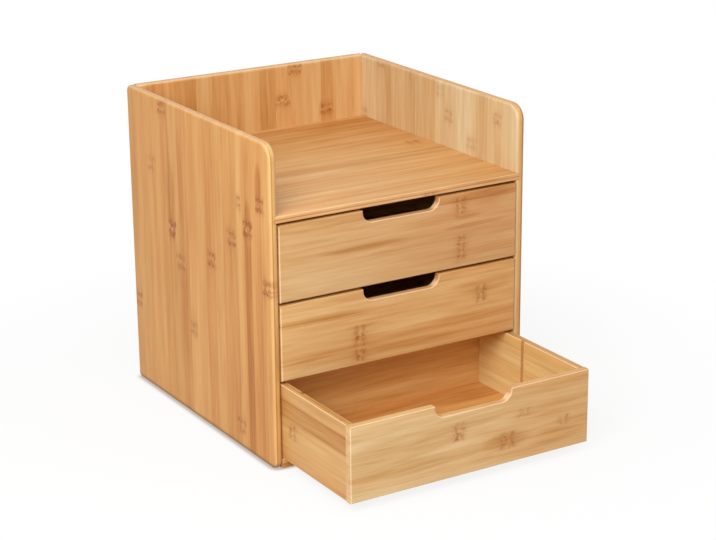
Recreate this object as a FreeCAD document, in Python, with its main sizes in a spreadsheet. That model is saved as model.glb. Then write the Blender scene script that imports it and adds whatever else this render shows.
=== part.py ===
import FreeCAD, Part
import os
import re
import Sketcher
from FreeCAD import Rotation, Vector

# Bamboo desk organizer: an open-fronted tray over three drawers.
# Lengths are in millimetres. The origin is the centre of the cabinet's base,
# +X is to the right seen from the front, the front faces -Y and +Z is up.

# Driving dimensions
sizes = {
    # cabinet
    "cabinet_width": 250.0,
    "cabinet_depth": 260.0,
    "tray_height": 59.5,
    "side_thick": 7.5,
    "back_thick": 7.5,
    "base_thick": 8.5,
    "shelf_thick": 6.0,
    "sheet_thick": 2.0,
    "front_corner": 14.0,
    "small_corner": 5.0,
    "foot_corner": 7.0,
    "side_round": 3.0,
    "board_round": 1.0,
    "groove_depth": 3.5,
    "groove_clear": 0.1,
    "end_clear": 0.3,
    "sheet_setback": 30.0,
    "rail_height": 12.0,
    "rail_depth": 16.0,
    "rail_round": 1.5,
    "stop_clear": 0.5,
    # dowels of the cabinet
    "dowel_diameter": 4.0,
    "dowel_length": 18.0,
    "dowel_seat": 4.5,
    "dowel_clear": 0.05,
    "dowel_end_clear": 0.4,
    "base_dowel_margin": 30.0,
    "back_dowel_margin": 26.0,
    # drawers
    "drawer_height": 65.5,
    "drawer_clear": 0.25,
    "drawer_side_clear": 0.7,
    "shelf_gap": 2.25,
    "bottom_open": 107.0,
    "front_thick": 7.0,
    "wall_thick": 7.0,
    "rear_thick": 7.0,
    "drawer_round": 1.0,
    "notch_width": 75.0,
    "notch_depth": 10.6,
    "notch_corner": 9.1,
    "floor_thick": 3.0,
    "floor_rise": 3.5,
    "floor_groove": 3.0,
    "divider_thick": 4.6,
    "divider_drop": 3.0,
    "slot_clear": 0.25,
    "slot_depth": 3.0,
    "slot_inset": 84.0,
    # pins of the drawers' corners
    "pin_diameter": 3.0,
    "pin_length": 15.0,
    "pin_seat": 3.6,
    "pin_margin": 15.0,
    # how far a cut runs past an open edge
    "overrun": 3.0,
}

# Places and sizes that follow from the driving dimensions
places = {
    "front_y": "-cabinet_depth / 2",
    "rear_y": "cabinet_depth / 2",
    "outer_half": "cabinet_width / 2",
    "inner_half": "outer_half - side_thick",
    "back_inner_y": "rear_y - back_thick",
    "housed_half": "inner_half + groove_depth - end_clear",
    "level_pitch": "drawer_height + 2 * drawer_clear + sheet_thick",
    "bottom_level": "base_thick + drawer_clear",
    "middle_level": "bottom_level + level_pitch",
    "top_level": "middle_level + level_pitch",
    "lower_sheet_z": "bottom_level + drawer_height + drawer_clear",
    "upper_sheet_z": "lower_sheet_z + level_pitch",
    "shelf_z": "top_level + drawer_height + shelf_gap",
    "cabinet_height": "shelf_z + shelf_thick + tray_height",
    "rail_y": "back_inner_y - rail_depth",
    "drawer_length": "rail_y - stop_clear - front_y",
    "dowel_bore": "dowel_diameter / 2 + dowel_clear",
    "dowel_reach": "dowel_length - dowel_seat + dowel_end_clear",
    "drawer_half": "inner_half - drawer_side_clear",
    "wall_inner": "drawer_half - wall_thick",
    "floor_top": "floor_rise + floor_thick",
    "rear_inner_y": "drawer_length - rear_thick",
    "slot_width": "divider_thick + 2 * slot_clear",
    "pin_bore": "pin_diameter / 2 + dowel_clear",
    "pin_reach": "pin_length - pin_seat + dowel_end_clear",
    "pin_low": "pin_margin",
    "pin_high": "drawer_height - pin_margin",
    "bottom_front_y": "front_y - bottom_open",
}

base_dowel_count = 3
back_dowel_count = 4
same_place = 0.001

doc = FreeCAD.newDocument("mini_drawers")
subparts = []


def sheet_name(word):
    """The sheet that holds a named size, or nothing for any other word."""
    if word in sizes:
        return "Sizes."
    if word in places:
        return "Places."
    return ""


def formula(text):
    """Text as an expression in which every named size points to its sheet."""
    return re.sub(r"[a-z_]+\w*", lambda word: sheet_name(word.group(0)) + word.group(0), text)


def fill_sheets():
    """Write the driving dimensions and what follows from them into two sheets."""
    driving = doc.addObject("Spreadsheet::Sheet", "Sizes")
    for row, (alias, number) in enumerate(sizes.items(), 1):
        driving.set(f"A{row}", alias)
        driving.set(f"B{row}", str(number))
        driving.setAlias(f"B{row}", alias)
    doc.recompute()
    following = doc.addObject("Spreadsheet::Sheet", "Places")
    for row, (alias, text) in enumerate(places.items(), 1):
        following.set(f"A{row}", alias)
        following.set(f"B{row}", "=" + re.sub(r"[a-z_]+\w*", lambda word: local_name(word.group(0)), text))
        following.setAlias(f"B{row}", alias)
    doc.recompute()
    return driving, following


def local_name(word):
    """A named size as a formula inside the second sheet writes it."""
    return "Sizes." + word if word in sizes else word


def number(alias):
    """The present value of a named size."""
    return float(getattr(driving_sheet if alias in sizes else following_sheet, alias))


def bind(item, prop, text):
    """Tie a property to an expression of named sizes."""
    item.setExpression(prop, formula(text))


def make_body(label):
    """A new body under its own label, kept as a sub-part."""
    body = doc.addObject("PartDesign::Body", label)
    body.Label = label
    subparts.append(body)
    return body


def origin_plane(body, role):
    """One of the body's own origin planes."""
    return [item for item in body.Origin.OriginFeatures if item.Role == role][0]


def sketch_on(body, role, offset):
    """An empty sketch on an origin plane, moved along the plane's normal."""
    sketch = body.newObject("Sketcher::SketchObject", body.Name + "_sketch")
    sketch.AttachmentSupport = [(origin_plane(body, role), "")]
    sketch.MapMode = "FlatFace"
    bind(sketch, "AttachmentOffset.Base.z", offset)
    return sketch


def dimension(sketch, kind, ends, text):
    """A dimension that follows an expression."""
    index = sketch.addConstraint(Sketcher.Constraint(kind, *ends, float(len(ends))))
    bind(sketch, f"Constraints[{index}]", text)


def rectangle(sketch, left, right, low, high):
    """A rectangle between two values along each sketch axis."""
    corners = [Vector(0, 0, 0), Vector(1, 0, 0), Vector(1, 1, 0), Vector(0, 1, 0)]
    lines = []
    for start, end in zip(corners, corners[1:] + corners[:1]):
        lines.append(sketch.addGeometry(Part.LineSegment(start, end)))
    for line, following in zip(lines, lines[1:] + lines[:1]):
        sketch.addConstraint(Sketcher.Constraint("Coincident", line, 2, following, 1))
    for line in lines[::2]:
        sketch.addConstraint(Sketcher.Constraint("Horizontal", line))
    for line in lines[1::2]:
        sketch.addConstraint(Sketcher.Constraint("Vertical", line))
    dimension(sketch, "DistanceX", (-1, 1, lines[0], 1), left)
    dimension(sketch, "DistanceY", (-1, 1, lines[0], 1), low)
    dimension(sketch, "DistanceX", (lines[0], 1, lines[0], 2), f"({right}) - ({left})")
    dimension(sketch, "DistanceY", (lines[1], 1, lines[1], 2), f"({high}) - ({low})")


def circle(sketch, across, up, radius):
    """A circle about a point of the sketch."""
    ring = sketch.addGeometry(Part.Circle(Vector(0, 0, 0), Vector(0, 0, 1), 1))
    dimension(sketch, "DistanceX", (-1, 1, ring, 3), across)
    dimension(sketch, "DistanceY", (-1, 1, ring, 3), up)
    dimension(sketch, "Radius", (ring,), radius)


def pad(body, sketch, length, towards_back=False):
    """A solid raised from a sketch."""
    feature = body.newObject("PartDesign::Pad", body.Name + "_pad")
    feature.Profile = sketch
    feature.Reversed = towards_back
    bind(feature, "Length", length)
    doc.recompute()
    return feature


def pocket(body, sketch, length, along_normal=False):
    """A cut from a sketch, which has to take material away."""
    before = body.Shape.Volume
    feature = body.newObject("PartDesign::Pocket", body.Name + "_pocket")
    feature.Profile = sketch
    feature.Reversed = along_normal
    bind(feature, "Length", length)
    doc.recompute()
    if body.Shape.Volume >= before:
        raise RuntimeError(feature.Name + " takes nothing away")
    return feature


def mirror_feature(body, feature):
    """Repeat a feature on the other side of the middle plane."""
    twin = body.newObject("PartDesign::Mirrored", body.Name + "_mirrored")
    twin.Originals = [feature]
    twin.MirrorPlane = (origin_plane(body, "YZ_Plane"), [""])
    body.Tip = twin
    doc.recompute()


def lies_at(box, **where):
    """True if an edge's box is flat at each of the given coordinates."""
    for axis, place in where.items():
        if abs(getattr(box, axis + "Min") - place) > same_place:
            return False
        if abs(getattr(box, axis + "Max") - place) > same_place:
            return False
    return True


def fillet(body, radius, wanted):
    """Round the edges of the body's last feature whose boxes are wanted."""
    base = body.Tip
    names = [f"Edge{index}" for index, edge in enumerate(base.Shape.Edges, 1) if wanted(edge.BoundBox)]
    feature = body.newObject("PartDesign::Fillet", body.Name + "_fillet")
    feature.Base = (base, names)
    bind(feature, "Radius", radius)
    doc.recompute()
    return feature


def mirror_body(label, source):
    """The same board for the other side of the middle plane."""
    twin = doc.addObject("Part::Mirroring", label)
    twin.Label = label
    twin.Source = source
    twin.Normal = Vector(1, 0, 0)
    subparts.append(twin)


def spread(first, last, count):
    """Expressions for evenly spaced places from first to last."""
    return [f"({first}) + (({last}) - ({first})) * {index} / {count - 1}" for index in range(count)]


def place(item, across, along, up):
    """Tie an object's position to expressions."""
    bind(item, "Placement.Base.x", across)
    bind(item, "Placement.Base.y", along)
    bind(item, "Placement.Base.z", up)


def board(label, half_width, front, rear, low, thick):
    """A flat board, centred on the middle plane."""
    item = doc.addObject("Part::Box", label)
    item.Label = label
    bind(item, "Length", f"2 * ({half_width})")
    bind(item, "Width", f"({rear}) - ({front})")
    bind(item, "Height", thick)
    place(item, f"-({half_width})", front, low)
    subparts.append(item)


def peg(label, radius, length, axis, across, along, up):
    """One dowel that starts at a point and runs along an axis."""
    item = doc.addObject("Part::Cylinder", label)
    bind(item, "Radius", radius)
    bind(item, "Height", length)
    item.Placement = FreeCAD.Placement(Vector(0, 0, 0), Rotation(Vector(0, 0, 1), axis))
    place(item, across, along, up)
    return item


def group(label, pegs):
    """Loose pegs kept as one sub-part of separate solids."""
    item = doc.addObject("Part::Compound", label)
    item.Label = label
    item.Links = pegs
    subparts.append(item)
    return item


def base_dowel_places():
    """Where the dowels of the base board lie along Y."""
    return spread("front_y + base_dowel_margin", "back_inner_y - base_dowel_margin", base_dowel_count)


def back_dowel_places():
    """Where the dowels of the back panel lie along Z."""
    return spread("back_dowel_margin", "cabinet_height - back_dowel_margin", back_dowel_count)


def side_panels():
    """Upright side panels with rounded edges, grooves for shelf and sheets, and dowel holes."""
    body = make_body("left_side")
    sketch = sketch_on(body, "YZ_Plane", "-inner_half")
    rectangle(sketch, "front_y", "rear_y", "0", "cabinet_height")
    pad(body, sketch, "side_thick", towards_back=True)
    front = number("front_y")
    rear = number("rear_y")
    top = number("cabinet_height")
    inner = -number("inner_half")
    outer = -number("outer_half")
    fillet(body, "front_corner", lambda box: lies_at(box, Y=front, Z=top))
    fillet(body, "foot_corner", lambda box: lies_at(box, Y=front, Z=0))
    fillet(body, "small_corner", lambda box: lies_at(box, Y=rear, Z=0) or lies_at(box, Y=rear, Z=top))
    fillet(body, "side_round", lambda box: lies_at(box, X=inner) or lies_at(box, X=outer))
    grooves = sketch_on(body, "YZ_Plane", "-inner_half")
    rectangle(grooves, "front_y - overrun", "back_inner_y", "shelf_z", "shelf_z + shelf_thick + groove_clear")
    for sheet_z in ("lower_sheet_z", "upper_sheet_z"):
        rectangle(grooves, "front_y + sheet_setback", "back_inner_y", sheet_z,
                  sheet_z + " + sheet_thick + groove_clear")
    pocket(body, grooves, "groove_depth")
    holes = sketch_on(body, "YZ_Plane", "-inner_half")
    for along in base_dowel_places():
        circle(holes, along, "base_thick / 2", "dowel_bore")
    for up in back_dowel_places():
        circle(holes, "rear_y - back_thick / 2", up, "dowel_bore")
    pocket(body, holes, "dowel_seat")
    mirror_body("right_side", body)


def back_panel():
    """Back panel between the side panels, with a rounded top edge."""
    body = make_body("back_panel")
    sketch = sketch_on(body, "XZ_Plane", "-rear_y")
    rectangle(sketch, "-inner_half", "inner_half", "0", "cabinet_height")
    pad(body, sketch, "back_thick")
    top = number("cabinet_height")
    half = number("inner_half")
    fillet(body, "side_round", lambda box: lies_at(box, Z=top) and box.XLength > half)
    holes = sketch_on(body, "YZ_Plane", "inner_half")
    for up in back_dowel_places():
        circle(holes, "rear_y - back_thick / 2", up, "dowel_bore")
    mirror_feature(body, pocket(body, holes, "dowel_reach"))


def base_board():
    """Bottom board, which the lowest drawer slides on."""
    body = make_body("base_board")
    sketch = sketch_on(body, "XY_Plane", "0")
    rectangle(sketch, "-inner_half", "inner_half", "front_y", "back_inner_y")
    pad(body, sketch, "base_thick")
    front = number("front_y")
    half = number("inner_half")
    fillet(body, "board_round", lambda box: lies_at(box, Y=front) and box.XLength > half)
    holes = sketch_on(body, "YZ_Plane", "inner_half")
    for along in base_dowel_places():
        circle(holes, along, "base_thick / 2", "dowel_bore")
    mirror_feature(body, pocket(body, holes, "dowel_reach"))


def shelf():
    """Shelf let into the side panels, the floor of the tray."""
    body = make_body("shelf")
    sketch = sketch_on(body, "XY_Plane", "shelf_z")
    rectangle(sketch, "-housed_half", "housed_half", "front_y", "back_inner_y")
    pad(body, sketch, "shelf_thick")
    front = number("front_y")
    half = number("inner_half")
    fillet(body, "board_round", lambda box: lies_at(box, Y=front) and box.XLength > half)


def rear_rail(label, top_z):
    """Strip on the back panel under a sheet or the shelf, which also stops a drawer."""
    body = make_body(label)
    sketch = sketch_on(body, "XY_Plane", f"{top_z} - rail_height")
    rectangle(sketch, "-inner_half", "inner_half", "rail_y", "back_inner_y")
    pad(body, sketch, "rail_height")
    front = number("rail_y")
    low = number(top_z) - number("rail_height")
    fillet(body, "rail_round", lambda box: lies_at(box, Y=front, Z=low))


def drawer_front(name):
    """Drawer front with its finger notch, floor groove and pin holes."""
    body = make_body(name + "_front")
    sketch = sketch_on(body, "XZ_Plane", "-front_thick")
    rectangle(sketch, "-drawer_half", "drawer_half", "0", "drawer_height")
    pad(body, sketch, "front_thick")
    notch = sketch_on(body, "XZ_Plane", "0")
    rectangle(notch, "-notch_width / 2", "notch_width / 2", "drawer_height - notch_depth",
              "drawer_height + overrun")
    pocket(body, notch, "front_thick")
    half_notch = number("notch_width") / 2
    low = number("drawer_height") - number("notch_depth")
    fillet(body, "notch_corner", lambda box: lies_at(box, X=half_notch, Z=low) or lies_at(box, X=-half_notch, Z=low))
    thick = number("front_thick")
    fillet(body, "drawer_round", lambda box: lies_at(box, Y=0) or (
        lies_at(box, Y=thick) and box.ZMax > low - same_place and box.XMax < number("drawer_half") + same_place
        and box.ZLength < number("drawer_height") / 2))
    groove = sketch_on(body, "XZ_Plane", "-front_thick")
    rectangle(groove, "-(wall_inner + floor_groove)", "wall_inner + floor_groove", "floor_rise",
              "floor_top + groove_clear")
    pocket(body, groove, "floor_groove", along_normal=True)
    holes = sketch_on(body, "XZ_Plane", "-front_thick")
    for across in ("drawer_half - wall_thick / 2", "-(drawer_half - wall_thick / 2)"):
        for up in ("pin_low", "pin_high"):
            circle(holes, across, up, "pin_bore")
    pocket(body, holes, "pin_seat", along_normal=True)
    return body


def drawer_wall(name):
    """Left drawer wall with its floor groove, divider slots and pin holes."""
    body = make_body(name + "_left_wall")
    sketch = sketch_on(body, "YZ_Plane", "-wall_inner")
    rectangle(sketch, "front_thick", "drawer_length", "0", "drawer_height")
    pad(body, sketch, "wall_thick", towards_back=True)
    top = number("drawer_height")
    outer = -number("drawer_half")
    length = number("rear_inner_y") / 2
    fillet(body, "drawer_round", lambda box: box.YLength > length and (
        lies_at(box, Z=top) or lies_at(box, X=outer)))
    groove = sketch_on(body, "YZ_Plane", "-wall_inner")
    rectangle(groove, "front_thick - overrun", "rear_inner_y + floor_groove", "floor_rise",
              "floor_top + groove_clear")
    pocket(body, groove, "floor_groove")
    slots = sketch_on(body, "YZ_Plane", "-wall_inner")
    for middle in ("slot_inset", "(drawer_length - slot_inset)"):
        rectangle(slots, f"{middle} - slot_width / 2", f"{middle} + slot_width / 2", "floor_top",
                  "drawer_height + overrun")
    pocket(body, slots, "slot_depth")
    front_holes = sketch_on(body, "XZ_Plane", "-front_thick")
    rear_holes = sketch_on(body, "YZ_Plane", "-wall_inner")
    for up in ("pin_low", "pin_high"):
        circle(front_holes, "-(drawer_half - wall_thick / 2)", up, "pin_bore")
        circle(rear_holes, "drawer_length - rear_thick / 2", up, "pin_bore")
    pocket(body, front_holes, "pin_reach")
    pocket(body, rear_holes, "pin_seat")
    return body


def drawer_back(name):
    """Back board between the drawer walls."""
    body = make_body(name + "_back")
    sketch = sketch_on(body, "XZ_Plane", "-drawer_length")
    rectangle(sketch, "-wall_inner", "wall_inner", "0", "drawer_height")
    pad(body, sketch, "rear_thick")
    top = number("drawer_height")
    half = number("wall_inner")
    fillet(body, "drawer_round", lambda box: lies_at(box, Z=top) and box.XLength > half)
    groove = sketch_on(body, "XZ_Plane", "-rear_inner_y")
    rectangle(groove, "-(wall_inner + overrun)", "wall_inner + overrun", "floor_rise", "floor_top + groove_clear")
    pocket(body, groove, "floor_groove")
    holes = sketch_on(body, "YZ_Plane", "wall_inner")
    for up in ("pin_low", "pin_high"):
        circle(holes, "drawer_length - rear_thick / 2", up, "pin_bore")
    mirror_feature(body, pocket(body, holes, "pin_reach"))
    return body


def drawer_divider(name):
    """Cross divider, which stands in the rear pair of slots."""
    body = make_body(name + "_divider")
    sketch = sketch_on(body, "XZ_Plane", "-(drawer_length - slot_inset + divider_thick / 2)")
    rectangle(sketch, "-(wall_inner + slot_depth - end_clear)", "wall_inner + slot_depth - end_clear",
              "floor_top", "drawer_height - divider_drop")
    pad(body, sketch, "divider_thick")
    top = number("drawer_height") - number("divider_drop")
    half = number("wall_inner")
    fillet(body, "drawer_round", lambda box: lies_at(box, Z=top) and box.XLength > half)
    return body


def drawer_pins(name):
    """Pins in the four corners of a drawer."""
    pegs = []
    for side in ("-", ""):
        for up in ("pin_low", "pin_high"):
            tag = f"{name}_pin_{len(pegs)}"
            pegs.append(peg(tag + "_front", "pin_diameter / 2", "pin_length", Vector(0, 1, 0),
                            f"{side}(drawer_half - wall_thick / 2)", "front_thick - pin_seat", up))
            start = "-(wall_inner + pin_seat)" if side else "wall_inner + pin_seat - pin_length"
            pegs.append(peg(tag + "_rear", "pin_diameter / 2", "pin_length", Vector(1, 0, 0),
                            start, "drawer_length - rear_thick / 2", up))
    return group(name + "_pins", pegs)


def drawer(name, front, level):
    """One drawer with its front face at a place along Y and its underside at a level."""
    left_wall = drawer_wall(name)
    for item in (drawer_front(name), left_wall, drawer_back(name), drawer_divider(name), drawer_pins(name)):
        bind(item, "Placement.Base.y", front)
        bind(item, "Placement.Base.z", level)
    mirror_body(name + "_right_wall", left_wall)
    board(name + "_floor", "wall_inner + floor_groove - end_clear",
          f"{front} + front_thick - floor_groove + end_clear", f"{front} + rear_inner_y + floor_groove - end_clear",
          f"{level} + floor_rise", "floor_thick")


def cabinet_dowels():
    """Dowels between the side panels and the boards between them."""
    base_pegs = []
    back_pegs = []
    for start in ("-(inner_half + dowel_seat)", "inner_half + dowel_seat - dowel_length"):
        for along in base_dowel_places():
            base_pegs.append(peg(f"base_dowel_{len(base_pegs)}", "dowel_diameter / 2", "dowel_length",
                                 Vector(1, 0, 0), start, along, "base_thick / 2"))
        for up in back_dowel_places():
            back_pegs.append(peg(f"back_dowel_{len(back_pegs)}", "dowel_diameter / 2", "dowel_length",
                                 Vector(1, 0, 0), start, "rear_y - back_thick / 2", up))
    group("base_dowels", base_pegs)
    group("back_dowels", back_pegs)


driving_sheet, following_sheet = fill_sheets()
side_panels()
back_panel()
base_board()
shelf()
for sheet_label, sheet_z in (("dust_panel_lower", "lower_sheet_z"), ("dust_panel_upper", "upper_sheet_z")):
    board(sheet_label, "housed_half", "front_y + sheet_setback", "back_inner_y", sheet_z, "sheet_thick")
rear_rail("rear_rail_lower", "lower_sheet_z")
rear_rail("rear_rail_middle", "upper_sheet_z")
rear_rail("rear_rail_upper", "shelf_z")
cabinet_dowels()
drawer("drawer_top", "front_y", "top_level")
drawer("drawer_middle", "front_y", "middle_level")
drawer("drawer_bottom", "bottom_front_y", "bottom_level")
doc.recompute()

for item in doc.Objects:
    if "Invalid" in item.State or "Error" in item.State:
        raise RuntimeError(item.Name + " failed to build")
for item in subparts:
    if item.Shape.isNull() or not item.Shape.isValid():
        raise RuntimeError(item.Label + " has no valid shape")

os.makedirs("parts", exist_ok=True)
for item in subparts:
    item.Shape.exportStep(f"parts/{item.Label}.step")
print(len(subparts), "sub-parts written")
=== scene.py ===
import math

import bpy
from mathutils import Matrix, Vector


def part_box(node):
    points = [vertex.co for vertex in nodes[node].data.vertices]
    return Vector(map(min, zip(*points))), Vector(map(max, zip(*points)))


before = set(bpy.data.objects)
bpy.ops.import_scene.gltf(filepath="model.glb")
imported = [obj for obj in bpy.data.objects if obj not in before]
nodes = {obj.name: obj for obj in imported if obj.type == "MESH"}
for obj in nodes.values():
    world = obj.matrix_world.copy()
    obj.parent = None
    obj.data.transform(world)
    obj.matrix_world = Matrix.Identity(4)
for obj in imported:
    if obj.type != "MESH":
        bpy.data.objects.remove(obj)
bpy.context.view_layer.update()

# Lengths are in metres in the CAD frame: +X right, -Y front, +Z up.
AXES = {"X": 0, "Y": 1, "Z": 2}

# Bamboo: colours as screen values from 0 to 255.
PALETTE = [(0.0, (168, 98, 34)), (0.22, (196, 131, 62)), (0.5, (219, 161, 94)), (0.78, (232, 183, 117)),
           (1.0, (242, 205, 146))]
WARMER = (255, 246, 236)
KNOT_BROWN = (158, 82, 0)
KNOT_CREAM = (242, 196, 138)
END_GRAIN_DARK = (196, 142, 92)
END_GRAIN_PALE = (232, 188, 138)
ARRIS_WEAR_AND_HIGHLIGHT = (255, 226, 186)
FOOT_SHADE_BROWN = (122, 84, 54)

# Bamboo: widths of strips and plies, and how much each scale of the grain counts.
STRIP = 0.0164
PLY = 0.0038
PLY_SHIFT = 0.41
SEAM_SHARE = 0.022
SEAM_DARKEST = 0.22
GLUE_LINE = (0.0002, 0.0007)
GLUE_DARK = 0.4
FOOT_SHADE_LINE = (0.0015, 0.0055)
END_GRAIN_DOTS = 1900.0
BROAD_SHARE = 0.7
MIDDLING_SHARE = 0.55
FINE_SHARE = 0.22
SLOW_SHARE = 0.25
ROUGHNESS = 0.38
ROUGHNESS_SPAN = 0.16
SPECULAR = 0.3
BUMP_STRENGTH = 0.25
BUMP_HEIGHT = 0.00012

# Nodes of the cane: their distance, the places of blobs, tails, specks and core, and how strongly they show.
CANE = 0.23
RANDOM_NODE_GAP = 0.003
SWAY_ACROSS = 0.0048
SWAY_ALONG = 0.0042
BLOB_PITCH = 0.0038
BLOB_HEIGHT = 0.0011
TAIL_START = 0.0012
TAIL_SHORTEST = 0.006
TAIL_SPREAD = 0.014
SMUDGE_REACH = 0.011
SMUDGE_DARK = 0.42
SPECK_REACH = (0.001, 0.0045)
CORE_HEIGHT = 0.0005
NODE_DARKEN = 1.35
NODE_DARKEST = 0.9
NODE_PALE = 0.36

# Noise layers of the grain: cycles per metre across and along, offset, detail, roughness.
BROAD = (120.0, 7.0, 0.0, 1.5, 0.55)
MIDDLING = (400.0, 20.0, 31.0, 2.0, 0.55)
FINE = (1500.0, 38.0, 67.0, 2.0, 0.6)

# Floor and camera. The contact shade is a screen colour, and the photograph is 716 pixels wide.
WHITE = (1, 1, 1, 1)
FLOOR_HALF = 6
FLOOR_BOUNCE = (0.68, 0.66, 0.64, 1)
FLOOR_SEEN = (0.85, 0.85, 0.85, 1)
CONTACT_SHADE = (196, 180, 168)
CONTACT_REACH = 0.006
SENSOR = 36
PHOTO_WIDTH = 716


def linear(colour):
    """A colour written as screen values from 0 to 255, as the shader needs it."""
    def channel(value):
        value = value / 255
        return value / 12.92 if value <= 0.04045 else ((value + 0.055) / 1.055) ** 2.4
    return (*(channel(value) for value in colour), 1.0)


class Graph:
    """Short calls for building a node tree."""

    def __init__(self, owner):
        owner.use_nodes = True
        self.tree = owner.node_tree
        self.tree.nodes.clear()

    def node(self, kind, **settings):
        made = self.tree.nodes.new(kind)
        for name, value in settings.items():
            setattr(made, name, value)
        return made

    def feed(self, socket, value):
        if isinstance(value, bpy.types.NodeSocket):
            self.tree.links.new(value, socket)
        elif value is not None:
            socket.default_value = value

    def math(self, operation, first, second=None, third=None):
        made = self.node("ShaderNodeMath", operation=operation)
        for socket, value in zip(made.inputs, (first, second, third)):
            self.feed(socket, value)
        return made.outputs[0]

    def times(self, *values):
        product = values[0]
        for value in values[1:]:
            product = self.math("MULTIPLY", product, value)
        return product

    def plus(self, *values):
        total = values[0]
        for value in values[1:]:
            total = self.math("ADD", total, value)
        return total

    def minus(self, first, second):
        return self.math("SUBTRACT", first, second)

    def over(self, first, second):
        return self.math("DIVIDE", first, second)

    def scaled(self, value, factor, offset):
        return self.math("MULTIPLY_ADD", value, factor, offset)

    def size(self, value):
        return self.math("ABSOLUTE", value)

    def swing(self, value, weight, base):
        """A base moved up or down by a random number from 0 to 1, which leaves it as it is at one half."""
        return self.scaled(self.minus(value, 0.5), weight, base)

    def vector(self, across, along, deep):
        made = self.node("ShaderNodeCombineXYZ")
        for socket, value in zip(made.inputs, (across, along, deep)):
            self.feed(socket, value)
        return made.outputs[0]

    def parts(self, vector):
        made = self.node("ShaderNodeSeparateXYZ")
        self.feed(made.inputs[0], vector)
        return made.outputs

    def vector_math(self, operation, first, second=None):
        made = self.node("ShaderNodeVectorMath", operation=operation)
        self.feed(made.inputs[0], first)
        self.feed(made.inputs[1], second)
        return made.outputs["Value" if operation == "LENGTH" else "Vector"]

    def choose(self, factor, first, second):
        """One of two vectors, or a mix of them."""
        made = self.node("ShaderNodeMix", data_type="VECTOR")
        self.feed(made.inputs["Factor"], factor)
        vectors = [socket for socket in made.inputs if socket.type == "VECTOR" and socket.name in "AB"]
        self.feed(vectors[0], first)
        self.feed(vectors[1], second)
        return [socket for socket in made.outputs if socket.type == "VECTOR"][0]

    def draws(self, across, along, deep):
        """Three random numbers from 0 to 1 for a cell."""
        made = self.node("ShaderNodeTexWhiteNoise", noise_dimensions="3D")
        self.feed(made.inputs["Vector"], self.vector(across, along, deep))
        return self.parts(made.outputs["Color"])

    def noise_node(self, across, along, deep, detail, roughness):
        made = self.node("ShaderNodeTexNoise", noise_dimensions="3D")
        self.feed(made.inputs["Vector"], self.vector(across, along, deep))
        made.inputs["Scale"].default_value = 1.0
        made.inputs["Detail"].default_value = detail
        made.inputs["Roughness"].default_value = roughness
        return made

    def noise(self, across, along, deep, detail=1.0, roughness=0.5):
        return self.noise_node(across, along, deep, detail, roughness).outputs["Fac"]

    def cloud(self, across, along, deep):
        """Three soft random numbers around one half, as a vector."""
        return self.noise_node(across, along, deep, 1.0, 0.5).outputs["Color"]

    def ramp(self, factor, stops):
        made = self.node("ShaderNodeValToRGB")
        band = made.color_ramp
        while len(band.elements) < len(stops):
            band.elements.new(0.5)
        for element, (place, colour) in zip(band.elements, stops):
            element.position = place
            element.color = linear(colour)
        self.feed(made.inputs["Fac"], factor)
        return made.outputs["Color"]

    def smooth(self, value, low, high, start=0.0, end=1.0):
        made = self.node("ShaderNodeMapRange", interpolation_type="SMOOTHSTEP")
        for name, given in (("Value", value), ("From Min", low), ("From Max", high), ("To Min", start),
                            ("To Max", end)):
            self.feed(made.inputs[name], given)
        return made.outputs["Result"]

    def mix(self, factor, first, second, blend="MIX"):
        made = self.node("ShaderNodeMix", data_type="RGBA", blend_type=blend)
        self.feed(made.inputs["Factor"], factor)
        colours = [socket for socket in made.inputs if socket.type == "RGBA"]
        self.feed(colours[0], first)
        self.feed(colours[1], second)
        return [socket for socket in made.outputs if socket.type == "RGBA"][0]

    def seen_directly(self):
        """One for rays from the camera, from gloss and through glass, and nothing for the light itself."""
        rays = self.node("ShaderNodeLightPath").outputs
        return self.math("MAXIMUM", self.math("MAXIMUM", rays["Is Camera Ray"], rays["Is Glossy Ray"]),
                         rays["Is Transmission Ray"])


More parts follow.
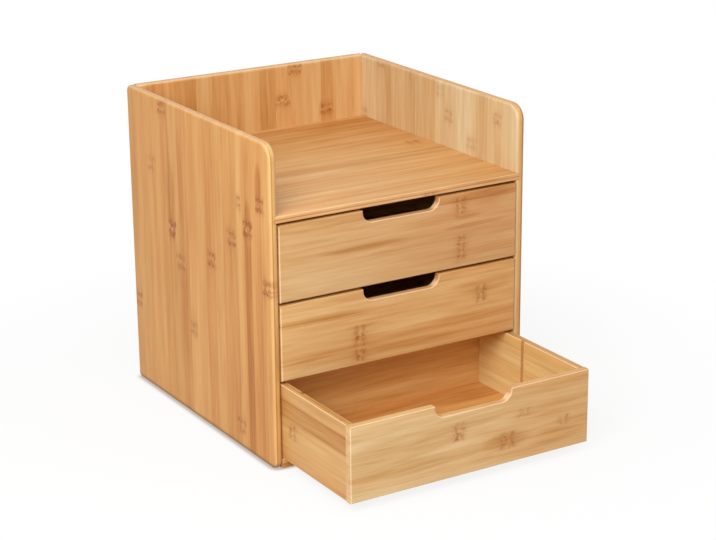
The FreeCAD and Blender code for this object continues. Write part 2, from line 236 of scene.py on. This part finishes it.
def cane_node(g, local, facts):
    """One node of the cane: two rows of soft brown blobs with tails, specks, and pale spots between the rows.

    local: offset across, offset along, seed. facts: half width, row gap, strength.
    """
    side, run, seed = g.parts(local)
    half_width, gap, strength = g.parts(facts)
    warp = g.parts(g.cloud(g.times(side, 180.0), g.times(run, 170.0), seed))
    crook = g.swing(warp[0], SWAY_ACROSS, side)
    reach = g.swing(warp[1], SWAY_ALONG, run)

    # Blobs in two rows, each with a tail away from the middle
    pitch = g.scaled(gap, 0.8, BLOB_PITCH)
    turns = g.plus(g.over(crook, pitch), g.times(g.math("SIGN", run), 0.14))
    across = g.minus(g.math("FRACT", turns), 0.5)
    luck = g.draws(g.math("FLOOR", turns), g.math("SIGN", run), seed)
    beyond = g.minus(g.size(reach), gap)
    wide = g.times(across, 1.4)
    tall = g.over(beyond, g.scaled(gap, 0.4, BLOB_HEIGHT))
    blob = g.smooth(g.plus(g.times(wide, wide), g.times(tall, tall)), 0.0, 1.8, 1.0, 0.0)
    blob = g.times(blob, g.scaled(luck[1], 0.75, 0.25))
    tail = g.times(g.smooth(beyond, 0.0, g.scaled(luck[2], TAIL_SPREAD, TAIL_SHORTEST), 0.35, 0.0),
                   g.smooth(beyond, -TAIL_START, 0.0), g.smooth(g.size(wide), 0.0, 1.1, 1.0, 0.0))
    smudge = g.smooth(g.size(run), 0.0, SMUDGE_REACH, SMUDGE_DARK, 0.0)

    # Specks, and the pale line between the rows
    specks = g.noise(g.times(side, 430.0), g.times(run, 330.0), g.plus(seed, 3.0))
    close = g.smooth(g.size(run), g.plus(gap, SPECK_REACH[0]), g.plus(gap, SPECK_REACH[1]), 1.0, 0.0)
    inside = g.times(g.smooth(g.over(g.size(crook), half_width), 0.75, 1.1, 1.0, 0.0), strength)
    dark = g.times(inside, g.plus(g.times(blob, 0.5), tail, smudge,
                                  g.times(close, g.smooth(specks, 0.34, 0.5, 0.75, 0.0))))
    core = g.over(reach, g.scaled(gap, 0.7, CORE_HEIGHT))
    spot = g.times(g.smooth(g.times(core, core), 0.0, 1.3, 1.0, 0.0), g.smooth(g.size(across), 0.1, 0.5, 0.2, 0.8))
    return dark, g.times(inside, g.plus(spot, g.times(close, g.smooth(specks, 0.54, 0.66, 0.0, 0.8))))


def wood_shade(g, side, run, depth, index, luck, seed, lift, spread, contrast, waver, streaks, flames):
    """How pale the wood is, from 0 to 1, and its finest grain."""
    bend = g.noise(g.times(side, 11.0), g.times(run, 4.5), seed * 1.7)
    ripple = g.noise(g.times(side, 45.0), g.times(run, 12.0), seed * 2.3)
    grain = g.swing(ripple, waver, g.swing(bend, 0.0075, side))
    own = g.scaled(index, 3.17, g.scaled(depth, 140.0, seed * 7.1))
    broad, middling, fine = [
        g.noise(g.times(grain, across), g.times(run, along), g.plus(own, offset) if offset else own, detail, roughness)
        for across, along, offset, detail, roughness in (BROAD, MIDDLING, FINE)]
    slow = g.noise(g.times(side, 9.0), g.times(run, 7.0), seed * 2.9)
    shade = 0.5 + lift
    for value, weight in ((luck, spread), (broad, BROAD_SHARE * contrast), (middling, MIDDLING_SHARE * contrast),
                          (fine, FINE_SHARE), (slow, SLOW_SHARE)):
        shade = g.swing(value, weight, shade)
    for centre, half, change, low, high in streaks:
        band = g.smooth(g.size(g.minus(side, centre)), half * 0.72, half, change, 0.0)
        if low is not None:
            band = g.times(band, g.smooth(run, low - 0.012, low + 0.012))
        if high is not None:
            band = g.times(band, g.smooth(run, high - 0.015, high + 0.015, 1.0, 0.15))
        shade = g.plus(shade, band)
    for centre, height, half, length, change in flames:
        off = g.over(g.minus(grain, centre), half)
        far = g.over(g.minus(run, height), length)
        reach = g.plus(g.times(off, off), g.times(far, far))
        shade = g.plus(shade, g.smooth(reach, 0.1, 1.0, change, 0.0))
    return shade, fine


def node_marks(g, side, run, index, share, layer, luck, seed, strip, wild, knots):
    """Dark and pale marks of the cane's nodes: those listed, and in some strips one per length of cane."""
    local = Vector((1, 1, 0))
    facts = Vector((1, 1, 0))
    if wild:
        turns = g.plus(g.over(run, CANE), g.times(luck, 7.31), 20.0)
        lot = g.draws(g.math("FLOOR", turns), index, g.plus(layer, seed))
        strength = g.times(g.math("GREATER_THAN", lot[0], 1.0 - wild), g.scaled(lot[1], 0.25, 0.15))
        local = g.vector(g.times(g.minus(share, 0.5), strip), g.times(g.minus(g.math("FRACT", turns), 0.5), CANE),
                         g.scaled(lot[2], 40.0, index))
        facts = g.vector(strip * 0.52, RANDOM_NODE_GAP, strength)
    spot = g.vector(side, run, 0.0)
    for number, (centre, height, half_width, gap, strength) in enumerate(knots):
        off = g.vector_math("SUBTRACT", spot, Vector((centre, height, -seed - number * 2.3)))
        far = g.vector_math("LENGTH", g.vector_math("MULTIPLY", off, Vector((0.8 / half_width, 28.0, 0.0))))
        near = g.math("LESS_THAN", far, 1.0)
        local = g.choose(near, local, off)
        facts = g.choose(near, facts, Vector((half_width, gap, strength)))
    return cane_node(g, local, facts)


def bamboo(name, along, across, deep, seed, strip=STRIP, start=0.0, middle=0.0, ply=PLY, lift=0.0, spread=0.26,
           contrast=1.0, tone=(1.0, 1.0, 1.0), far_tone=None, drift=("X", -0.1, 0.1), rim_tone=None, main=1.0,
           knots=(), streaks=(), flames=(), waver=0.0012, wild=0.0, edge=0.35, edge_top=None, edge_low=None,
           ends=0.6, foot_shade=0.0):
    """Satin bamboo whose strips run along one axis and lie side by side along another, in two plies.

    knots: (side, run, half width, row gap, strength). streaks: (side, half width, shade, from, to).
    flames: (side, run, half width, half length, shade), long soft lens shapes in the grain.
    tone colours the board, far_tone takes over along an axis, and rim_tone on all but the main face; far_tone and
    rim_tone paint light and shade, a part or side of the board lighter or darker as light falls on it.
    """
    material = bpy.data.materials.new(name)
    g = Graph(material)
    coordinates = g.node("ShaderNodeTexCoord").outputs
    place = g.parts(coordinates["Object"])
    normal = g.parts(coordinates["Normal"])
    facing = [g.size(part) for part in normal]
    run, side, depth = (place[AXES[axis]] for axis in (along, across, deep))

    # Strips side by side, each ply set off from the next
    level = g.math("FLOOR", g.over(g.minus(g.size(depth), middle), ply))
    layer = g.plus(level, g.times(g.math("SIGN", depth), 3.1))
    count = g.plus(g.over(g.minus(side, start), strip), g.times(level, PLY_SHIFT), 40.0)
    index = g.math("FLOOR", count)
    share = g.math("FRACT", count)
    chance = g.draws(index, layer, seed + 0.5)

    # Colour of the wood
    shade, fine = wood_shade(g, side, run, depth, index, chance[0], seed, lift, spread, contrast, waver, streaks,
                             flames)
    yellow = g.ramp(shade, PALETTE)
    orange = g.mix(1.0, yellow, linear(WARMER), "MULTIPLY")
    # Painted light and shade: far_tone makes the board lighter or darker along an axis, and rim_tone gives the faces
    # other than the main one their own tone
    tint = Vector(tone)
    if far_tone:
        axis, low, high = drift
        tint = g.choose(g.smooth(place[AXES[axis]], low, high), tint, Vector(far_tone))
    if rim_tone:
        ahead = g.times(normal[AXES[deep]], main)
        tint = g.choose(g.smooth(ahead, 0.5, 0.9), Vector(rim_tone), tint)
    colour = g.vector_math("MULTIPLY", g.mix(chance[1], yellow, orange), tint)

    # Thin joints between strips and between plies, and the nodes of the cane
    seam = g.math("MINIMUM", share, g.minus(1.0, share))
    seam = g.smooth(seam, 0.0, SEAM_SHARE, g.times(chance[2], SEAM_DARKEST), 0.0)
    glue = g.smooth(g.size(g.minus(g.size(depth), middle)), *GLUE_LINE, GLUE_DARK, 0.0)
    dark = g.plus(seam, g.times(glue, g.smooth(facing[AXES[deep]], 0.2, 0.6, 1.0, 0.0)))
    pale = None
    if wild or knots:
        flecks, pale = node_marks(g, side, run, index, share, layer, chance[2], seed, strip, wild, knots)
        dark = g.plus(dark, flecks)
    colour = g.mix(g.math("MINIMUM", g.times(dark, NODE_DARKEN), NODE_DARKEST), colour, linear(KNOT_BROWN))
    if pale is not None:
        colour = g.mix(g.times(pale, NODE_PALE), colour, linear(KNOT_CREAM))

    # End grain is paler and dotted, arrises are paler still, partly from wear and partly as a painted highlight, and
    # the foot gets a painted contact shade
    dots = g.noise(g.times(side, END_GRAIN_DOTS), g.times(depth, END_GRAIN_DOTS), g.times(run, 300.0))
    cut = g.mix(g.smooth(dots, 0.42, 0.6), linear(END_GRAIN_DARK), linear(END_GRAIN_PALE))
    end_grain = g.smooth(facing[AXES[along]], 0.55, 0.92)
    colour = g.mix(g.times(end_grain, ends), colour, cut)
    flatness = g.math("MAXIMUM", facing[0], g.math("MAXIMUM", facing[1], facing[2]))
    arris = g.smooth(flatness, 0.80, 0.99, 1.0, 0.0)
    # How pale an arris is painted depends on which way it faces, and on closed fronts it stops under the top edge, in
    # the gap's shade: painted highlight and shade
    if edge_low is not None:
        edge = g.smooth(normal[2], -0.1, -0.5, edge, edge_low)
    wear_and_highlight = g.times(arris, edge)
    if edge_top is not None:
        wear_and_highlight = g.times(wear_and_highlight, g.smooth(side, edge_top - 0.002, edge_top - 0.001, 1.0, 0.0))
    colour = g.mix(wear_and_highlight, colour, linear(ARRIS_WEAR_AND_HIGHLIGHT))
    # Painted contact shade: a brown line along the bottom edge, where the board stands on the floor
    if foot_shade:
        colour = g.mix(g.smooth(place[2], *FOOT_SHADE_LINE, foot_shade, 0.0), colour, linear(FOOT_SHADE_BROWN))

    bump = g.node("ShaderNodeBump")
    bump.inputs["Strength"].default_value = BUMP_STRENGTH
    bump.inputs["Distance"].default_value = BUMP_HEIGHT
    g.feed(bump.inputs["Height"], g.minus(fine, g.times(dark, 0.6)))
    shader = g.node("ShaderNodeBsdfPrincipled")
    g.feed(shader.inputs["Base Color"], colour)
    g.feed(shader.inputs["Roughness"], g.scaled(fine, ROUGHNESS_SPAN, ROUGHNESS))
    shader.inputs["Specular IOR Level"].default_value = SPECULAR
    g.feed(shader.inputs["Normal"], bump.outputs["Normal"])
    g.feed(g.node("ShaderNodeOutputMaterial").inputs["Surface"], shader.outputs[0])
    return material


def dress(material, *names):
    """Give every material slot of some CAD nodes one material."""
    for name in names:
        data = nodes[name].data
        if not data.materials:
            data.materials.append(material)
        for slot in range(len(data.materials)):
            data.materials[slot] = material


def ply_middle(node, axis):
    """Distance of a board's middle plane from the origin along an axis."""
    low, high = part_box(node)
    return abs(low[AXES[axis]] + high[AXES[axis]]) / 2


# Side panels: places are Y and height, where the photograph shows them.
left_knots = [
    (0.0600, 0.2706, 0.0080, 0.0030, 0.42), (0.0460, 0.1645, 0.0080, 0.0042, 0.85),
    (0.0320, 0.1380, 0.0095, 0.0045, 0.3), (-0.0265, 0.1560, 0.0085, 0.0042, 0.42),
    (-0.0640, 0.1848, 0.0080, 0.0040, 0.42), (-0.0925, 0.1995, 0.0080, 0.0040, 0.75),
    (-0.1135, 0.2248, 0.0075, 0.0035, 0.5), (-0.0775, 0.2190, 0.0040, 0.0030, 0.35),
    (0.0110, 0.0825, 0.0070, 0.0035, 0.35), (0.1210, 0.0785, 0.0075, 0.0040, 0.35),
    (-0.1235, 0.1570, 0.0070, 0.0040, 0.5), (-0.0735, 0.0205, 0.0080, 0.0040, 0.3),
    (0.0830, 0.2155, 0.0090, 0.0040, 0.2)]
left_streaks = [
    (-0.0925, 0.0062, -0.3, None, 0.196), (-0.0925, 0.0056, -0.15, 0.204, 0.264),
    (-0.0785, 0.0052, 0.16, None, None), (-0.1140, 0.0066, -0.1, None, 0.2),
    (0.0300, 0.0095, -0.1, None, 0.13), (0.0070, 0.0092, 0.1, None, 0.17),
    (0.0450, 0.0080, -0.06, None, None), (-0.1020, 0.0030, 0.1, None, 0.2)]
left_flames = [
    (-0.1125, 0.2400, 0.0075, 0.024, -0.34), (0.0475, 0.1950, 0.0080, 0.042, -0.12),
    (0.0280, 0.2100, 0.0050, 0.050, -0.1), (-0.0925, 0.2080, 0.0060, 0.020, -0.2)]
right_knots = [
    (-0.0250, 0.2479, 0.0070, 0.0030, 0.2), (-0.0998, 0.2597, 0.0080, 0.0030, 0.2),
    (-0.0110, 0.2680, 0.0070, 0.0030, 0.13)]
side_middle = ply_middle("left_side", "X") + 0.0012
# The right panel is painted paler than the left, its inner face catching more light, and the rims get painted light
# and shade: the left's paler, the right's darker
dress(bamboo("bamboo_left_side", "Z", "Y", "X", 3.0, middle=side_middle, knots=left_knots, streaks=left_streaks,
             flames=left_flames, lift=-0.03, spread=0.12, contrast=0.6, tone=(0.93, 0.92, 0.86),
             rim_tone=(1.0, 1.2, 1.42), main=-1.0, edge=0.12, foot_shade=0.75), "left_side")
dress(bamboo("bamboo_right_side", "Z", "Y", "X", 8.0, middle=side_middle, knots=right_knots, wild=0.1, lift=0.1,
             contrast=0.7, tone=(0.91, 1.24, 1.98), rim_tone=(0.83, 0.86, 0.88), main=-1.0, edge=0.1,
             foot_shade=0.75), "right_side")

# Boards between the side panels: places on the back panel are X and height.
back_knots = [(0.0776, 0.2308, 0.0080, 0.0030, 0.4), (0.0441, 0.2725, 0.0080, 0.0030, 0.3)]
# Painted light and shade: the back panel turns paler towards its right end, and the shelf darker towards its right end
# and paler on its edges
dress(bamboo("bamboo_back_panel", "Z", "X", "Y", 5.0, middle=ply_middle("back_panel", "Y"), knots=back_knots,
             wild=0.15, contrast=0.7, tone=(0.92, 0.99, 1.17), far_tone=(1.0, 1.2, 1.58),
             drift=("X", 0.03, 0.12), foot_shade=0.75), "back_panel")
dress(bamboo("bamboo_shelf", "X", "Y", "Z", 11.0, middle=ply_middle("shelf", "Z"), wild=0.12, lift=0.03,
             tone=(0.99, 1.02, 1.12), far_tone=(0.9, 0.92, 1.0), drift=("X", -0.1, -0.02),
             rim_tone=(0.98, 1.07, 1.4)), "shelf")
dress(bamboo("bamboo_board", "X", "Y", "Z", 14.0, middle=ply_middle("base_board", "Z"), wild=0.4, ply=0.0045),
      "base_board", "rear_rail_lower", "rear_rail_middle", "rear_rail_upper")
sheet = bamboo("bamboo_sheet", "X", "Y", "Z", 17.0, ply=0.02, wild=0.4)
peg = bamboo("dowel_wood", "X", "Y", "Z", 19.0, ply=0.02, lift=0.15)
dress(sheet, "dust_panel_lower", "dust_panel_upper")
dress(peg, "base_dowels", "back_dowels")

# Drawers: places on the fronts are height and X, and on the open drawer's left wall height and Y.
front_knots = {
    "top": [(0.1985, 0.0592, 0.0088, 0.0030, 0.3), (0.1620, 0.0600, 0.0130, 0.0018, 0.28)],
    "middle": [(0.1173, 0.0812, 0.0085, 0.0028, 0.3), (0.1020, -0.0420, 0.0105, 0.0028, 0.34),
               (0.0855, -0.0418, 0.0060, 0.0026, 0.34)],
    "bottom": [(0.0470, -0.0140, 0.0082, 0.0026, 0.32), (0.0290, 0.0340, 0.0088, 0.0045, 0.3),
               (0.0500, 0.0500, 0.0040, 0.0030, 0.2), (0.0350, 0.0910, 0.0040, 0.0030, 0.2)]}
front_flames = {
    "top": [(0.1808, 0.0750, 0.0028, 0.040, -0.3), (0.1885, 0.0680, 0.0024, 0.018, -0.15),
            (0.1800, -0.0360, 0.0024, 0.052, -0.2), (0.2030, 0.0800, 0.0090, 0.042, -0.1),
            (0.1640, -0.0650, 0.0130, 0.070, 0.1)],
    "middle": [(0.1245, -0.0770, 0.0052, 0.066, -0.16), (0.1240, -0.0850, 0.0014, 0.054, -0.16),
               (0.1250, 0.0850, 0.0085, 0.042, -0.2), (0.0865, 0.0150, 0.0052, 0.060, -0.18),
               (0.0900, -0.0950, 0.0016, 0.038, -0.18), (0.1060, 0.0100, 0.0110, 0.050, 0.14)],
    "bottom": [(0.0450, -0.0400, 0.0065, 0.034, -0.12), (0.0290, 0.0330, 0.0095, 0.030, -0.18),
               (0.0240, 0.0850, 0.0090, 0.034, -0.1)]}
# Each front is painted darker towards its right end than at its left: painted shade of the light falling off across
# the fronts
front_tones = {
    "top": ((0.89, 1.05, 1.43), (0.84, 0.84, 1.0)), "middle": ((1.0, 1.19, 1.58), (0.96, 1.03, 1.18)),
    "bottom": ((1.0, 1.34, 2.1), (0.95, 1.08, 1.38))}
open_wall_knots = [(0.0380, -0.1455, 0.0080, 0.0030, 0.3)]
open_wall_streaks = [
    (0.0553, 0.0080, -0.16, None, None), (0.0624, 0.0016, -0.16, None, None), (0.0482, 0.0015, -0.14, None, None),
    (0.0330, 0.0130, 0.08, None, None), (0.0690, 0.0050, 0.1, None, None)]
# The right walls, whose inner faces look towards the light, are painted paler than the left ones, and the walls' other
# faces get a rim tone: painted light and shade on one wood
wall_tones = {"left": (0.87, 0.91, 0.96), "right": (1.08, 1.5, 1.92)}
STRIPS_IN_A_FRONT = 4
for number, name in enumerate(("top", "middle", "bottom")):
    drawer = "drawer_" + name
    is_open = name == "bottom"
    low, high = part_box(drawer + "_front")
    strips = {"start": low[2], "strip": (high[2] - low[2]) / STRIPS_IN_A_FRONT}
    near_tone, far_tone = front_tones[name]
    # On closed fronts the top and downward arrises get no painted highlight, as they lie in the gap's shade; the open
    # front's downward arrises get more of it
    dress(bamboo("bamboo_front_" + name, "X", "Z", "Y", 21.0 + number * 4.3, knots=front_knots[name],
                 flames=front_flames[name], waver=0.0026, contrast=0.8, spread=0.16, ply=0.02, ends=0.2,
                 tone=near_tone, far_tone=far_tone, edge=0.48, edge_top=None if is_open else high[2],
                 edge_low=0.7 if is_open else 0.0, **strips), drawer + "_front")
    for side, tone in wall_tones.items():
        by_hand = is_open and side == "left"
        dress(bamboo(f"bamboo_{side}_wall_{name}", "Y", "Z", "X", 31.0 + number * 2.7 + len(side), wild=0.25,
                     knots=open_wall_knots if by_hand else (), streaks=open_wall_streaks if by_hand else (),
                     lift=0.04, contrast=0.7, spread=0.14, tone=tone, rim_tone=(0.86, 1.0, 1.25), main=-1.0,
                     edge=0.6, middle=ply_middle(drawer + "_left_wall", "X"), **strips),
              f"{drawer}_{side}_wall")
    # The cross pieces' faces other than the front one get a paler rim tone: painted light
    dress(bamboo("bamboo_cross_" + name, "X", "Z", "Y", 41.0 + number * 3.1, wild=0.3, ply=0.02,
                 tone=(1.04, 1.22, 1.4), rim_tone=(1.05, 1.4, 2.1), main=-1.0),
          drawer + "_back", drawer + "_divider")
    dress(sheet, drawer + "_floor")
    dress(peg, drawer + "_pins")


def white_floor():
    """A floor that looks white and keeps the object's soft shadow close to it."""
    mesh = bpy.data.meshes.new("floor")
    corners = [(x * FLOOR_HALF, y * FLOOR_HALF, 0) for x, y in ((-1, -1), (1, -1), (1, 1), (-1, 1))]
    mesh.from_pydata(corners, [], [(0, 1, 2, 3)])
    floor = bpy.data.objects.new("floor", mesh)
    bpy.context.scene.collection.objects.link(floor)
    material = bpy.data.materials.new("white_floor")
    g = Graph(material)
    seen = g.seen_directly()
    plain = g.node("ShaderNodeBsdfDiffuse")
    g.feed(plain.inputs["Color"], g.mix(seen, FLOOR_BOUNCE, FLOOR_SEEN))
    # A painted contact shade: the floor's glow turns darker where ambient occlusion finds the object close
    near = g.node("ShaderNodeAmbientOcclusion", samples=16)
    near.inputs["Distance"].default_value = CONTACT_REACH
    shade = g.smooth(near.outputs["AO"], 0.45, 1.0, 1.0, 0.0)
    glow = g.node("ShaderNodeEmission")
    g.feed(glow.inputs["Color"], g.mix(shade, WHITE, linear(CONTACT_SHADE)))
    reach = g.vector_math("LENGTH", g.node("ShaderNodeTexCoord").outputs["Object"])
    cover = g.smooth(reach, 0.2, 0.5, 0.86, 1.0)
    blend = g.node("ShaderNodeMixShader")
    g.feed(blend.inputs[0], g.times(seen, cover))
    g.feed(blend.inputs[1], plain.outputs[0])
    g.feed(blend.inputs[2], glow.outputs[0])
    g.feed(g.node("ShaderNodeOutputMaterial").inputs["Surface"], blend.outputs[0])
    mesh.materials.append(material)


def studio():
    """Soft light from all round, stronger from above, which the camera sees as plain white."""
    world = bpy.data.worlds.new("studio")
    bpy.context.scene.world = world
    g = Graph(world)
    right, back, up = g.parts(g.node("ShaderNodeTexCoord").outputs["Generated"])
    above = g.times(g.smooth(up, 0.0, 1.0, 0.0, 0.75), g.smooth(right, -0.2, 0.8, 1.0, 0.75))
    soft = g.plus(above, g.smooth(back, 0.2, -1.0, 0.0, 0.33), g.smooth(back, 0.2, 1.0, 0.0, 0.3),
                  g.smooth(right, 0.3, 1.0, 0.0, 0.15))
    sky = g.node("ShaderNodeBackground")
    sky.inputs["Color"].default_value = WHITE
    g.feed(sky.inputs["Strength"], g.math("MAXIMUM", soft, g.seen_directly()))
    g.feed(g.node("ShaderNodeOutputWorld").inputs["Surface"], sky.outputs[0])


def soft_box(name, place, target, power, size):
    """A square lamp that points at a target."""
    data = bpy.data.lights.new(name, "AREA")
    data.shape = "SQUARE"
    data.size = size
    data.energy = power
    made = bpy.data.objects.new(name, data)
    made.location = place
    made.rotation_mode = "QUATERNION"
    made.rotation_quaternion = (Vector(target) - Vector(place)).to_track_quat("-Z", "Y")
    bpy.context.scene.collection.objects.link(made)


def aim_camera(place, turn, drop, roll, focal_px):
    """A camera turned to the right, dropped and rolled by angles in degrees, with a focal length in pixels."""
    turn, drop, roll = (math.radians(angle) for angle in (turn, drop, roll))
    ahead = Vector((math.sin(turn) * math.cos(drop), math.cos(turn) * math.cos(drop), -math.sin(drop)))
    right = Vector((math.cos(turn), -math.sin(turn), 0))
    up = right.cross(ahead)
    right, up = math.cos(roll) * right + math.sin(roll) * up, math.cos(roll) * up - math.sin(roll) * right
    data = bpy.data.cameras.new("camera")
    data.sensor_width = SENSOR
    data.lens = focal_px * SENSOR / PHOTO_WIDTH
    camera = bpy.data.objects.new("camera", data)
    camera.matrix_world = Matrix.Translation(place) @ Matrix((right, up, -ahead)).transposed().to_4x4()
    bpy.context.scene.collection.objects.link(camera)
    bpy.context.scene.camera = camera


white_floor()
studio()
soft_box("key_light", place=(-0.86, -0.80, 0.92), target=(0, -0.03, 0.14), power=15.0, size=0.8)

# Camera fitted to the edges of the cabinet and of the open drawer
aim_camera(place=(-0.8513, -1.4517, 0.6692), turn=31.45, drop=18.18, roll=-0.53, focal_px=1978)
bpy.context.scene.view_settings.view_transform = "Standard"
